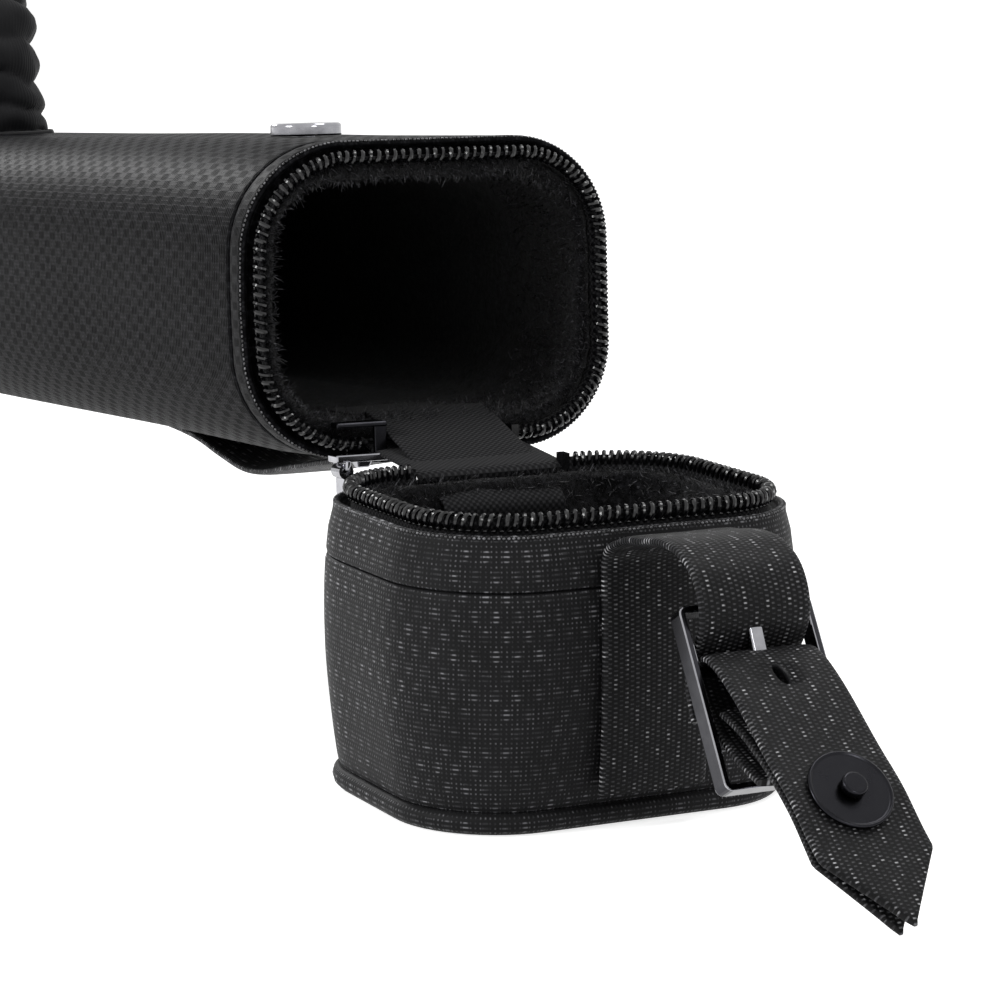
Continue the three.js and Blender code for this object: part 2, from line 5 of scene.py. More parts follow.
import bmesh
import bpy
from mathutils import Matrix, Vector, noise
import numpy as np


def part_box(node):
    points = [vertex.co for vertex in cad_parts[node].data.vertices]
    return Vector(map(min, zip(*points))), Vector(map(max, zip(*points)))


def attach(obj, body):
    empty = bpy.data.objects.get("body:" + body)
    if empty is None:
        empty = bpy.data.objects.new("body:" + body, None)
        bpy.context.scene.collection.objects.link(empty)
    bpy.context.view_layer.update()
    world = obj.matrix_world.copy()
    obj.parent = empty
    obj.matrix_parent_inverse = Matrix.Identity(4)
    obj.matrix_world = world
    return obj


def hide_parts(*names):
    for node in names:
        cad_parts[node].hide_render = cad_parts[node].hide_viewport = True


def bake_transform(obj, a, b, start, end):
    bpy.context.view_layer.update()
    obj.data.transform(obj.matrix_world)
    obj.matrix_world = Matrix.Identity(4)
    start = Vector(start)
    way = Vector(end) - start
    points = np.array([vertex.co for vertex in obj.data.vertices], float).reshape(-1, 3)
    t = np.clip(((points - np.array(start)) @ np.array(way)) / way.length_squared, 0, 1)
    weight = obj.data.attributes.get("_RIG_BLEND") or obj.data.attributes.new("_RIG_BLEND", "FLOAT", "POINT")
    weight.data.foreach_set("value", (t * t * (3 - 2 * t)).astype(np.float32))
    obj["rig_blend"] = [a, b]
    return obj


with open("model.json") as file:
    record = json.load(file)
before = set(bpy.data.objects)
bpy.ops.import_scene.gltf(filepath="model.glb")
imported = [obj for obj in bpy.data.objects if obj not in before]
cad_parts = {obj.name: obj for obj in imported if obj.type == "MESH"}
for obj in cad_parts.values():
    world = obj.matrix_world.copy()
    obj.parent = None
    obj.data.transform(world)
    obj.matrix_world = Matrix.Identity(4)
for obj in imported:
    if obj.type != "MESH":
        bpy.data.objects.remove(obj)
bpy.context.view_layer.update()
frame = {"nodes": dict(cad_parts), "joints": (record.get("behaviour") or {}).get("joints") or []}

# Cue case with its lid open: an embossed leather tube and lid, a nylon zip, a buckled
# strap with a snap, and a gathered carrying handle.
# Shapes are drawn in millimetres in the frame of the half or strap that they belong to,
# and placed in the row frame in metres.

MM = 0.001

# ---- Sizes, in millimetres ----
CASE_WIDTH = 76.0
CASE_HEIGHT = 60.0
CORNER = 20.0
TUBE_LENGTH = 820.0
LID_DEPTH = 52.0
HINGE_REACH = 12.9
HINGE_DROP = 6.1
HINGE_HALF = 16.0
TUBE_BAND = 7.0
LID_BAND = 9.5
COVER_WALL = 1.2
COIL_PITCH = 1.67
STRAP_WIDTH = 21.0
STRAP_WALL = 1.8
TONGUE_WALL = 1.6
SNAP_SETBACK = 61.0
SNAP_SHIFT = 1.5
SNAP_TURN = 48.1
SNAP_ON_TONGUE = (64.4, -32.5)
RIVET_FOOT = -4.9
FRAME_LEAN = 31.0
BAR = (36.3, -17.5)
SLOT = (43.6, -17.75)
CLEARANCE = 0.3
FRAME_ABOVE = 10.5
FRAME_BELOW = 20.0
FRAME_STRIP = 1.2
FRAME_WIDE = 25.2
FRAME_LONG = FRAME_ABOVE + FRAME_BELOW + 1.2
FRAME_DEEP = 3.6
HANDLE_FRONT = -255.0
HANDLE_REAR = -415.0
HANDLE_TOP = 100.0
HANDLE_BEND = 26.0
SLEEVE_RADII = (13.7, 10.7)
ROLL_PITCH = 7.2
PATCH = (22, 28, 1.0)
LOOP_RUN = 141.0
SLIDER_X = 3.9
PILE_HIGH = 0.8

FLAT_WIDE = CASE_WIDTH - 2 * CORNER
FLAT_HIGH = CASE_HEIGHT - 2 * CORNER
QUARTER = math.pi / 2 * CORNER
GIRTH = 2 * FLAT_WIDE + 2 * FLAT_HIGH + 4 * QUARTER
CREASE = 52.0

# ---- Frames ----
joints = {joint["name"]: joint for joint in frame["joints"]}


def axes(origin, x, y, z):
    """The matrix from millimetres along three directions to metres in the row frame."""
    turn = Matrix((x, y, z)).transposed() * MM
    return Matrix.Translation(origin) @ turn.to_4x4()


ALONG = Vector(joints["handle_swing"]["axis"]).normalized()
ACROSS = Vector((0, 1, 0))
UPRIGHT = Vector((0, 0, 1))
TUBE_UP = ALONG.cross(ACROSS)
HINGE = Vector(joints["lid_hinge"]["pos_m"])
MOUTH = HINGE - ALONG * HINGE_REACH * MM + TUBE_UP * HINGE_DROP * MM
ROOT = Vector(joints["strap_root_bend"]["pos_m"])
RIM = Vector((HINGE.x + HINGE_DROP * MM, 0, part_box("lid_end_cover")[0].z + LID_DEPTH * MM))

# X along the tube to its mouth, Z up from its underside.
TUBE = axes(MOUTH, ALONG, ACROSS, TUBE_UP)
# X from a half's lip into it, Y across, Z from its hinged wall to its snap wall.
TUBE_HALF = axes(MOUTH, -ALONG, -ACROSS, TUBE_UP)
LID_HALF = axes(RIM, -UPRIGHT, ACROSS, Vector((1, 0, 0)))
# X out from the lid's front wall, Z up from its rim.
STRAP = axes(ROOT - Vector((1.9, 0, -2.3)) * MM, Vector((1, 0, 0)), ACROSS, UPRIGHT)


# ---- Materials ----
MATH, RANGE, MIX, BUMP = "ShaderNodeMath", "ShaderNodeMapRange", "ShaderNodeMix", "ShaderNodeBump"
TIMES = {"operation": "MULTIPLY"}
LARGER = {"operation": "MAXIMUM"}
EASED = {"interpolation_type": "SMOOTHSTEP"}
COLOUR = {"data_type": "RGBA"}
OVALS_ROUND = 70


def linear(code):
    """An sRGB hex colour as linear RGBA."""
    parts = [int(code[i:i + 2], 16) / 255 for i in (1, 3, 5)]
    return tuple(p / 12.92 if p <= 0.04045 else ((p + 0.055) / 1.055) ** 2.4 for p in parts) + (1,)


def add_node(tree, kind, inputs, **settings):
    """Adds one shader node with its settings and links. An input's value is a number, a colour,
    a socket, or a node whose first output is meant."""
    made = tree.nodes.new(kind)
    for name, value in settings.items():
        setattr(made, name, value)
    for key, value in inputs.items():
        if isinstance(value, bpy.types.Node):
            value = value.outputs[0]
        if isinstance(value, bpy.types.NodeSocket):
            tree.links.new(value, made.inputs[key])
        else:
            made.inputs[key].default_value = value
    return made


def new_material(name, base, roughness, **sockets):
    """A material with its shader's plain values set. Returns it, its tree and its shader."""
    material = bpy.data.materials.new(name)
    material.use_nodes = True
    tree = material.node_tree
    shader = tree.nodes["Principled BSDF"]
    shader.inputs["Base Color"].default_value = linear(base)
    shader.inputs["Roughness"].default_value = roughness
    for key, value in sockets.items():
        shader.inputs[key.replace("_", " ")].default_value = value
    return material, tree, shader


def ripple(tree, value, period):
    """The cosine of a length that repeats over a period, both in the same unit."""
    turn = add_node(tree, MATH, {0: value, 1: 2 * math.pi / period}, **TIMES)
    return add_node(tree, MATH, {0: turn}, operation="COSINE")


def surface_lengths(tree):
    """The two lengths of a piece's own surface map, in millimetres."""
    lengths = add_node(tree, "ShaderNodeUVMap", {}, uv_map="Surface")
    split = add_node(tree, "ShaderNodeSeparateXYZ", {0: lengths})
    return split.outputs[0], split.outputs[1]


def object_noise(tree, size_mm, detail=3.0, roughness=0.6):
    """Noise whose grains are about a size across."""
    place = add_node(tree, "ShaderNodeTexCoord", {})
    return add_node(tree, "ShaderNodeTexNoise", {
        "Vector": place.outputs["Object"], "Scale": 1 / (size_mm * MM),
        "Detail": detail, "Roughness": roughness}).outputs["Fac"]


def oval_mask(tree, over, along, wide, long, low, high):
    """One inside staggered ovals, zero in the net between them."""
    waves = {0: ripple(tree, over, wide), 1: ripple(tree, along, long)}
    ovals = add_node(tree, MATH, waves, **TIMES)
    return add_node(tree, RANGE, {0: ovals, 1: low, 2: high}, **EASED)


def dress(tree, shader, pattern, colours=(), gloss=(), bump=(), under=None):
    """Joins a pattern to a shader: its colour between two colours, its roughness between two
    values, and its bump by a strength and a height in millimetres, over another bump if given."""
    if colours:
        low, high = linear(colours[0]), linear(colours[1])
        tint = add_node(tree, MIX, {0: pattern, 6: low, 7: high}, **COLOUR)
        tree.links.new(tint.outputs[2], shader.inputs["Base Color"])
    if gloss:
        level = add_node(tree, RANGE, {0: pattern, 3: gloss[0], 4: gloss[1]})
        tree.links.new(level.outputs[0], shader.inputs["Roughness"])
    if bump:
        raised = add_node(tree, BUMP, {
            "Strength": bump[0], "Distance": bump[1] * MM, "Height": pattern})
        if under:
            tree.links.new(under.outputs[0], raised.inputs["Normal"])
        tree.links.new(raised.outputs[0], shader.inputs["Normal"])


def finish_leather(tree, shader, relief, colours, depth_mm, gloss_range):
    """Joins an embossed relief to the colour, gloss and bump of a leather. The colours are of its
    ground, its raised parts, and painted glints on the highest raised parts in random spots. The
    raised parts' lighter colour is partly the leather's own tone and partly painted highlight."""
    # Painted highlight: the tops of the relief, in random spots, take the third and lightest colour as
    # painted glints.
    spots = add_node(tree, RANGE, {0: object_noise(tree, 1.6, 1.0), 1: 0.44, 2: 0.62}, **EASED)
    squared = add_node(tree, MATH, {0: relief, 1: relief}, **TIMES)
    painted_glint = add_node(tree, MATH, {0: squared, 1: spots}, **TIMES)
    # high is partly the raised parts' own tone and partly painted highlight; bright is the colour of the
    # painted glints.
    ground, high, bright = (linear(code) for code in colours)
    raised = add_node(tree, MIX, {0: relief, 6: ground, 7: high}, **COLOUR)
    tint = add_node(tree, MIX, {0: painted_glint, 6: raised.outputs[2], 7: bright}, **COLOUR)
    wear = object_noise(tree, 11.0, 4.0)
    worn = add_node(tree, RANGE, {0: wear, 1: 0.3, 2: 0.7, 3: 0.75, 4: 1.25})
    shade = add_node(tree, "ShaderNodeVectorMath", {0: tint.outputs[2], 1: worn}, **TIMES)
    tree.links.new(shade.outputs[0], shader.inputs["Base Color"])
    grain = object_noise(tree, 0.35)
    fine = add_node(tree, BUMP, {"Strength": 0.5, "Distance": 0.05 * MM, "Height": grain})
    dress(tree, shader, relief, gloss=gloss_range, bump=(1.0, depth_mm), under=fine)


def embossed_leather(name, specular, colours, depth_mm, net):
    """PU leather embossed with staggered ovals 3.4 by 6.8 mm apart, crossed by fine ribs that run
    round the case, with small dots between them. A net above zero lowers and darkens the ovals
    by that share, and raises the net between them."""
    material, tree, shader = new_material(name, colours[0], 0.5, Specular_IOR_Level=specular)
    over, along = surface_lengths(tree)
    wide = GIRTH / OVALS_ROUND
    rib = wide / 4
    mask = oval_mask(tree, over, along, wide, 2 * wide, 0.2 - net, 0.8 - net / 2)
    clear = add_node(tree, RANGE, {
        0: object_noise(tree, 16.0, 2.0), 1: 0.35, 2: 0.6, 3: 0.45, 4: 1.0}, **EASED)
    shown = add_node(tree, MATH, {0: mask, 1: clear}, **TIMES)
    lines = add_node(tree, RANGE, {0: ripple(tree, over, rib), 1: 0.0, 2: 0.9}, **EASED)
    dots = add_node(tree, MATH, {0: lines, 1: 0.6}, **TIMES)
    both = add_node(tree, MATH, {0: shown, 1: dots}, **LARGER)
    ribs = add_node(tree, RANGE, {0: ripple(tree, along, rib), 1: -0.3, 2: 0.95}, **EASED)
    ribbed = add_node(tree, MATH, {0: both, 1: ribs}, **TIMES)
    lowered = add_node(tree, MATH, {0: ribbed, 1: 1.0 - net}, **TIMES)
    outside = add_node(tree, MATH, {0: 1.0, 1: mask}, operation="SUBTRACT")
    relief = add_node(tree, MATH, {0: outside, 1: net, 2: lowered}, operation="MULTIPLY_ADD")
    finish_leather(tree, shader, relief, colours, depth_mm, (0.56, 0.28))
    return material


def beaded_leather():
    """PU leather embossed with columns of small beads 0.8 mm apart along a strap, in staggered runs
    of four, with weaker beads between the columns and a line of fine beads at each turned edge."""
    material, tree, shader = new_material(
        "beaded_pu_leather", "#141415", 0.5, Specular_IOR_Level=0.12)
    over, along = surface_lengths(tree)
    columns = ripple(tree, over, 2.1)
    beads = ripple(tree, along, 0.82)
    between = add_node(tree, MATH, {0: columns, 1: -1.0}, **TIMES)
    shifted = add_node(tree, MATH, {0: beads, 1: -1.0}, **TIMES)
    away = add_node(tree, MATH, {0: over}, operation="ABSOLUTE")
    runs = oval_mask(tree, over, along, 4.2, 6.8, -0.35, 0.3)
    strength = add_node(tree, RANGE, {0: runs, 3: 0.3, 4: 1.0})
    relief = 0.0
    for across, low, high, down, first, last, share in (
            (columns, 0.25, 0.95, beads, -0.2, 0.9, strength),
            (between, 0.35, 0.95, shifted, -0.1, 0.9, 0.35),
            (away, 9.6, 10.0, beads, -0.3, 0.8, 0.45)):
        lines = add_node(tree, RANGE, {0: across, 1: low, 2: high}, **EASED)
        dots = add_node(tree, RANGE, {0: down, 1: first, 2: last}, **EASED)
        both = add_node(tree, MATH, {0: lines, 1: dots}, **TIMES)
        field = add_node(tree, MATH, {0: both, 1: share}, **TIMES)
        relief = add_node(tree, MATH, {0: relief, 1: field}, **LARGER)
    # The bead tops are painted lighter and, in spots, near white: painted glints standing in for highlights
    # on the beads and the edge lines.
    finish_leather(tree, shader, relief, ("#0c0c0d", "#4c4c4f", "#c0c0c3"), 0.3, (0.55, 0.22))
    return material


def plain_leather():
    """Smooth black leather of the patches, with a fine pore."""
    material, tree, shader = new_material(
        "smooth_black_leather", "#1b1b1c", 0.45, Specular_IOR_Level=0.2)
    pores = object_noise(tree, 1.1, 5.0, 0.7)
    # The pore tops are painted a little lighter, with small painted glints in spots.
    finish_leather(tree, shader, pores, ("#121213", "#1e1e20", "#2a2a2c"), 0.12, (0.5, 0.38))
    return material


def ribbed_grosgrain():
    """Woven polyester tape with cross ribs 1.1 mm apart and a finer warp."""
    material, tree, shader = new_material(
        "ribbed_grosgrain", "#101011", 0.8, Sheen_Weight=0.05, Specular_IOR_Level=0.12)
    over, along = surface_lengths(tree)
    weave = add_node(tree, MATH, {0: ripple(tree, along, 1.1), 1: ripple(tree, over, 1.3)}, **TIMES)
    height = add_node(tree, RANGE, {0: weave, 1: -0.6, 2: 1.0}, **EASED)
    dress(tree, shader, height, ("#08080a", "#2b2b2d"), bump=(1.0, 0.15))
    return material


def gathered_polyester():
    """Black stretch polyester of the handle's sleeve, knitted in fine wales along its length."""
    material, tree, shader = new_material(
        "gathered_polyester", "#0c0c0d", 0.62, Sheen_Weight=0.04, Sheen_Roughness=0.5,
        Specular_IOR_Level=0.1)
    dress(tree, shader, object_noise(tree, 6.0, 3.0), ("#08080a", "#1c1c1e"))
    over, along = surface_lengths(tree)
    knit = {0: ripple(tree, over, 0.85), 1: object_noise(tree, 0.5, 2.0)}
    dress(tree, shader, add_node(tree, MATH, knit, operation="ADD"), bump=(0.35, 0.08))
    return material


def speckled(name, base, roughness, grain, limits=(), colours=(), gloss=(), bump=(), **sockets):
    """A material varied by one noise. grain is its size in millimetres, its detail and its
    roughness. limits sharpen it for the colours."""
    material, tree, shader = new_material(name, base, roughness, **sockets)
    pattern = object_noise(tree, *grain)
    dress(tree, shader, pattern, gloss=gloss, bump=bump)
    if limits:
        pattern = add_node(tree, RANGE, {0: pattern, 1: limits[0], 2: limits[1]}, **EASED)
    dress(tree, shader, pattern, colours)
    return material


def plated_metal(name, bright, dull, gloss):
    """A plated metal whose gloss varies a little with handling."""
    return speckled(name, bright, gloss[0], (2.5, 4.0), (), (bright, dull), gloss, Metallic=1.0)


# The tube and the lid share one leather, drawn as a shaded and a lit copy: the tube's darker with faint
# painted glints, the lid's with a lighter ground and bright painted glints.
TUBE_LEATHER = embossed_leather(
    "embossed_pu_leather", 0.015, ("#080809", "#101012", "#343437"), 0.14, 0.45)
LID_LEATHER = embossed_leather(
    "lid_pu_leather_painted_glints", 0.1, ("#161617", "#3a3a3c", "#8e8e92"), 0.2, 0.0)
BEADED = beaded_leather()
SMOOTH = plain_leather()
GROSGRAIN = ribbed_grosgrain()
SLEEVE = gathered_polyester()
# The stretched ribs of the leather at a folded lip, glossy, in a lighter leather whose pale spots are
# painted glints of the fold.
LIP_GLINT_LEATHER = speckled("pu_lip_edge_painted_glint", "#3a3a3c", 0.28, (1.4, 2.0), (0.4, 0.62),
                       ("#1c1c1e", "#77777a"), Specular_IOR_Level=0.45)
# Short black pile, soft and without gloss, with a pale sheen at grazing angles.
PLUSH = speckled("black_pile_plush", "#0a0a0b", 0.95, (1.0, 6.0, 0.8), (0.42, 0.68),
                 ("#050506", "#2e2e31"), bump=(1.0, 0.8),
                 Sheen_Weight=0.12, Sheen_Roughness=0.4, Specular_IOR_Level=0.05)
# Single pile fibres; a random share is painted lighter as a painted sheen, for fibres that catch the light.
FIBRE = speckled("black_pile_fibre", "#151516", 0.45, (0.8, 2.0), (0.45, 0.7),
                 ("#0a0a0b", "#5c5c60"), Specular_IOR_Level=0.35)
# Glossy nylon monofilament of the zip's coils.
NYLON = speckled("moulded_nylon", "#08080a", 0.2, (0.6, 2.0), gloss=(0.14, 0.3),
                 Specular_IOR_Level=0.45)
# Polyester sewing thread with a slight gloss.
THREAD = speckled("twisted_thread", "#131314", 0.5, (0.5, 2.0), bump=(0.6, 0.08),
                  Specular_IOR_Level=0.25)
# Bare grey fibre board, matt and flecked.
BOARD = speckled("fibre_board", "#2c2926", 0.9, (1.5, 4.0), (), ("#1e1c1a", "#3a3632"))
NICKEL = plated_metal("polished_nickel", "#b4b4b8", "#7c7c82", (0.08, 0.2))
GUNMETAL = plated_metal("polished_gunmetal", "#444448", "#2c2c30", (0.12, 0.24))
BLACK_NICKEL = plated_metal("black_nickel_plate", "#2b2b2e", "#1d1d20", (0.2, 0.32))


# ---- Shape helpers ----
def finish_piece(bm, name, place, material, smooth=True):
    """Turns a bmesh drawn in millimetres into an object placed in the row frame."""
    bmesh.ops.transform(bm, matrix=place, verts=bm.verts)
    bmesh.ops.recalc_face_normals(bm, faces=bm.faces)
    mesh = bpy.data.meshes.new(name)
    bm.to_mesh(mesh)
    bm.free()
    if smooth:
        mesh.shade_smooth()
        mesh.set_sharp_from_angle(angle=math.radians(CREASE))
    mesh.materials.append(material)
    piece = bpy.data.objects.new(name, mesh)
    bpy.context.scene.collection.objects.link(piece)
    return piece


def bevel_edges(bm, edges, offset, segments):
    bmesh.ops.bevel(bm, geom=edges, offset=offset, segments=segments, profile=0.5, material=-1,
                    affect="EDGES")


def settle(piece, body, slot, *nodes):
    """Rides a piece on a body and hides the CAD nodes that it stands for. slot is not used."""
    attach(piece, body)
    if nodes:
        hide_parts(*nodes)
    return piece


def round_case(distance, inset=0.0):
    """A point of the case's section and its outward normal, a distance round from the hinge's
    middle."""
    left = distance % GIRTH
    corner = (QUARTER, True)
    stretches = [(FLAT_WIDE / 2, False), corner, (FLAT_HIGH, False), corner, (FLAT_WIDE, False),
                 corner, (FLAT_HIGH, False), corner, (FLAT_WIDE / 2, False)]
    at = Vector((0.0, 0.0))
    heading = 0.0
    for length, bend in stretches:
        step = min(left, length)
        if bend:
            centre = at + Vector((-math.sin(heading), math.cos(heading))) * CORNER
            heading += step / CORNER
            at = centre - Vector((-math.sin(heading), math.cos(heading))) * CORNER
        else:
            at = at + Vector((math.cos(heading), math.sin(heading))) * step
        left -= step
        if left <= 1e-9:
            break
    normal = Vector((math.sin(heading), -math.cos(heading)))
    return at - normal * inset, normal


def map_surface(bm, wrap=None):
    """Writes the surface map from the two lengths kept on the vertices, in millimetres."""
    over = bm.verts.layers.float["over"]
    along = bm.verts.layers.float["along"]
    lengths = bm.loops.layers.uv.new("Surface")
    for face in bm.faces:
        highest = max(loop.vert[over] for loop in face.loops)
        for loop in face.loops:
            value = loop.vert[over]
            if wrap and highest - value > wrap / 2:
                value += wrap
            loop[lengths].uv = (value, loop.vert[along])


def sweep_rings(bm, rings, around, closed=True, wrap=None):
    """Extrudes one ring of vertices through places. rings is a list of functions of the
    index round the ring that give a point and the two lengths on the surface."""
    order = bm.verts.layers.int.new("order")
    over = bm.verts.layers.float.new("over")
    along = bm.verts.layers.float.new("along")
    bmesh.ops.create_circle(bm, segments=around, radius=1.0)
    bm.verts.ensure_lookup_table()
    for i, vert in enumerate(bm.verts):
        vert[order] = i
    first = bm.edges[:]
    edges = first
    verts = bm.verts[:]
    for number, ring in enumerate(rings):
        if number:
            made = bmesh.ops.extrude_edge_only(bm, edges=edges)["geom"]
            verts = [item for item in made if isinstance(item, bmesh.types.BMVert)]
            fresh = set(verts)
            edges = [item for item in made if isinstance(item, bmesh.types.BMEdge)
                     and item.verts[0] in fresh and item.verts[1] in fresh]
        for vert in verts:
            point, vert[over], vert[along] = ring(vert[order])
            vert.co = point
    if closed == "loop":
        bmesh.ops.bridge_loops(bm, edges=first + edges)
    elif closed:
        bmesh.ops.edgeloop_fill(bm, edges=first)
        bmesh.ops.edgeloop_fill(bm, edges=edges)
    map_surface(bm, wrap)


AROUND = 104


def case_shell(name, place, profile, material, shape=None, closed="loop"):
    """A shell round the case's section. profile is a list of depths and insets, and shape
    gives how far a point of depth and distance round is pushed out."""
    rings = []
    run = 0.0
    for number, (depth, inset) in enumerate(profile):
        if number:
            before = profile[number - 1]
            run += math.hypot(depth - before[0], inset - before[1])

        def ring(i, depth=depth, inset=inset, run=run):
            distance = GIRTH * i / AROUND
            point, normal = round_case(distance, inset)
            if shape:
                point = point + normal * shape(depth, distance, inset)
            return Vector((depth, point.x, point.y)), distance, depth if inset < COVER_WALL else run

        rings.append(ring)
    bm = bmesh.new()
    sweep_rings(bm, rings, AROUND, closed, GIRTH)
    return finish_piece(bm, name, place, material)


def spread(start, end, step):
    """Numbers from one to another, about a step apart."""
    count = max(1, round(abs(end - start) / step))
    return [start + (end - start) * i / count for i in range(count + 1)]


def smooth_line(points, spacing=0.8):
    """Points evenly spaced along a Catmull-Rom curve in XZ, with their headings."""
    ends = [points[0]] + list(points) + [points[-1]]
    dense = []
    for i in range(len(ends) - 3):
        a, b, c, d = (Vector(p) for p in ends[i:i + 4])
        for k in range(24):
            t = k / 24
            dense.append(0.5 * (2 * b + (c - a) * t + (2 * a - 5 * b + 4 * c - d) * t * t
                                + (3 * b - a - 3 * c + d) * t ** 3))
    dense.append(Vector(points[-1]))
    lengths = [0.0]
    for a, b in zip(dense, dense[1:]):
        lengths.append(lengths[-1] + (b - a).length)
    count = max(2, round(lengths[-1] / spacing))
    even = []
    j = 0
    for i in range(count + 1):
        want = lengths[-1] * i / count
        while j < len(dense) - 2 and lengths[j + 1] < want:
            j += 1
        share = (want - lengths[j]) / max(1e-9, lengths[j + 1] - lengths[j])
        even.append(dense[j].lerp(dense[j + 1], min(1, share)))
    headings = []
    for i in range(len(even)):
        step = even[min(i + 1, len(even) - 1)] - even[max(i - 1, 0)]
        headings.append(step.normalized())
    return even, headings, lengths[-1]


def band_strip(name, place, points, width, wall, material, point_end=0.0, edge=3.0,
               lift=None, spacing=0.8):
    """A flat strip that follows points in XZ, with rounded edges and a pointed end if asked.
    lift raises it across its width."""
    line, headings, total = smooth_line(points, spacing)
    around = 36
    rings = []
    for number, (at, heading) in enumerate(zip(line, headings)):
        run = total * number / (len(line) - 1)
        side = Vector((-heading.y, heading.x))
        half = width / 2
        thick = wall
        if point_end and total - run < point_end:
            half = max(0.3, half * (total - run) / point_end)
            thick = wall * min(1.0, 0.3 + (total - run) / 1.6)

        def ring(i, at=at, side=side, half=half, run=run, thick=thick):
            turn = 2 * math.pi * i / around
            cosine, sine = math.cos(turn), math.sin(turn)
            across = half * math.copysign(abs(cosine) ** (1 / edge), cosine)
            high = thick / 2 * math.copysign(abs(sine) ** 0.55, sine)
            if lift:
                high += lift(run, across)
            point = at + side * high
            return Vector((point.x, across, point.y)), across, run

        rings.append(ring)
    bm = bmesh.new()
    sweep_rings(bm, rings, around, True)
    return finish_piece(bm, name, place, material)


def turned(name, place, profile, material, sides=48):
    """A piece turned about Z from a profile of radii and heights."""
    bm = bmesh.new()
    verts = [bm.verts.new((radius, 0, height)) for radius, height in profile]
    edges = [bm.edges.new(pair) for pair in zip(verts, verts[1:])]
    bmesh.ops.spin(bm, geom=verts + edges, cent=(0, 0, 0), axis=(0, 0, 1), angle=2 * math.pi,
                   steps=sides, use_merge=True)
    bmesh.ops.remove_doubles(bm, verts=bm.verts, dist=1e-4)
    return finish_piece(bm, name, place, material)


def evaluated_mesh(piece):
    """The mesh that a piece's curve or modifiers make."""
    bpy.context.view_layer.update()
    shown = piece.evaluated_get(bpy.context.evaluated_depsgraph_get())
    return bpy.data.meshes.new_from_object(shown)


def wire(name, place, lines, radius, material, tips=None, resolution=1):
    """Round wires along lines of points, as one mesh. tips thins each wire point by point."""
    curve = bpy.data.curves.new(name, "CURVE")
    curve.dimensions = "3D"
    curve.bevel_depth = radius
    curve.bevel_resolution = resolution
    curve.use_fill_caps = True
    for points in lines:
        spline = curve.splines.new("POLY")
        spline.points.add(len(points) - 1)
        for number, point in enumerate(points):
            spline.points[number].co = (*point, 1)
            spline.points[number].radius = tips[number] if tips else 1.0
    drawn = bpy.data.objects.new(name, curve)
    bpy.context.scene.collection.objects.link(drawn)
    mesh = evaluated_mesh(drawn)
    bpy.data.objects.remove(drawn)
    bm = bmesh.new()
    bm.from_mesh(mesh)
    bmesh.ops.remove_doubles(bm, verts=bm.verts, dist=1e-5)
    return finish_piece(bm, name, place, material)


def stitch_row(name, place, spots, material, length=2.2, radius=0.32):
    """A row of short stitches. spots are places, headings and normals."""
    bm = bmesh.new()
    for at, heading, normal in spots:
        side = heading.cross(normal)
        turn = Matrix((heading, side, normal)).transposed().to_4x4()
        stretch = Matrix.Diagonal((length / 2, radius, radius * 0.8, 1))
        bmesh.ops.create_icosphere(bm, subdivisions=1, radius=1.0,
                                   matrix=Matrix.Translation(at) @ turn @ stretch)
    return finish_piece(bm, name, place, material)


def round_stitches(name, place, depth, inset, shape, pitch, skip, size, material):
    """A row of stitches right round the case's section."""
    spots = []
    count = round((GIRTH - 2 * skip) / pitch)
    for i in range(count):
        distance = skip + (GIRTH - 2 * skip) * (i + 0.5) / count
        point, normal = round_case(distance, inset)
        ahead, _ = round_case(distance + 0.5, inset)
        point = point + normal * shape(depth, distance, inset)
        heading = Vector((0, ahead.x - point.x, ahead.y - point.y))
        out = Vector((0, normal.x, normal.y))
        heading = (heading - out * heading.dot(out)).normalized()
        spots.append((Vector((depth, point.x, point.y)), heading, out))
    return stitch_row(name, place, spots, material, *size)


# ---- The two halves ----
NEAR_WALL = FLAT_WIDE / 2 + QUARTER + FLAT_HIGH / 2
SOCKET_MIDDLE = GIRTH / 2


def near_flare(depth, distance):
    """The tube's near wall stands out beside the zip, most at the lip."""
    away = abs(distance % GIRTH - NEAR_WALL) / 38.0
    window = math.cos(math.pi / 2 * away) ** 2 if away < 1 else 0.0
    return window * (1.1 * math.exp(-depth / 60.0) + 0.8 * math.exp(-depth / 5.0))


def tube_shape(depth, distance, inset):
    """The tube's padded walls stand a little proud, wander slightly and dip round the snap."""
    push = near_flare(max(0.0, depth), distance)
    if inset > COVER_WALL:
        return push
    settle_in = min(1.0, max(0.0, depth - TUBE_BAND) / 14)
    settle_in *= min(1.0, max(0.0, TUBE_LENGTH - depth) / 20)
    wander = noise.noise(Vector((depth / 90, distance / 40, 3.0)))
    reach = math.hypot(depth - SNAP_SETBACK, (distance - SOCKET_MIDDLE) * 0.8)
    dip = -0.15 * math.exp(-(reach / 12.0) ** 2)
    return push + settle_in * (0.25 + 0.45 * wander) + dip


def lid_shape(depth, distance, inset):
    """The lid's padded walls bulge between the band and the welt, and draw in at its foot."""
    if inset > COVER_WALL:
        return 0.0
    share = min(1.0, max(0.0, (depth - 2) / (LID_DEPTH - 4)))
    bulge = 1.9 * math.sin(math.pi * share ** 0.75) ** 0.8
    wander = noise.noise(Vector((depth / 26, distance / 30, 9.0)))
    return bulge * (1 + 0.35 * wander) - 1.2 * share ** 4


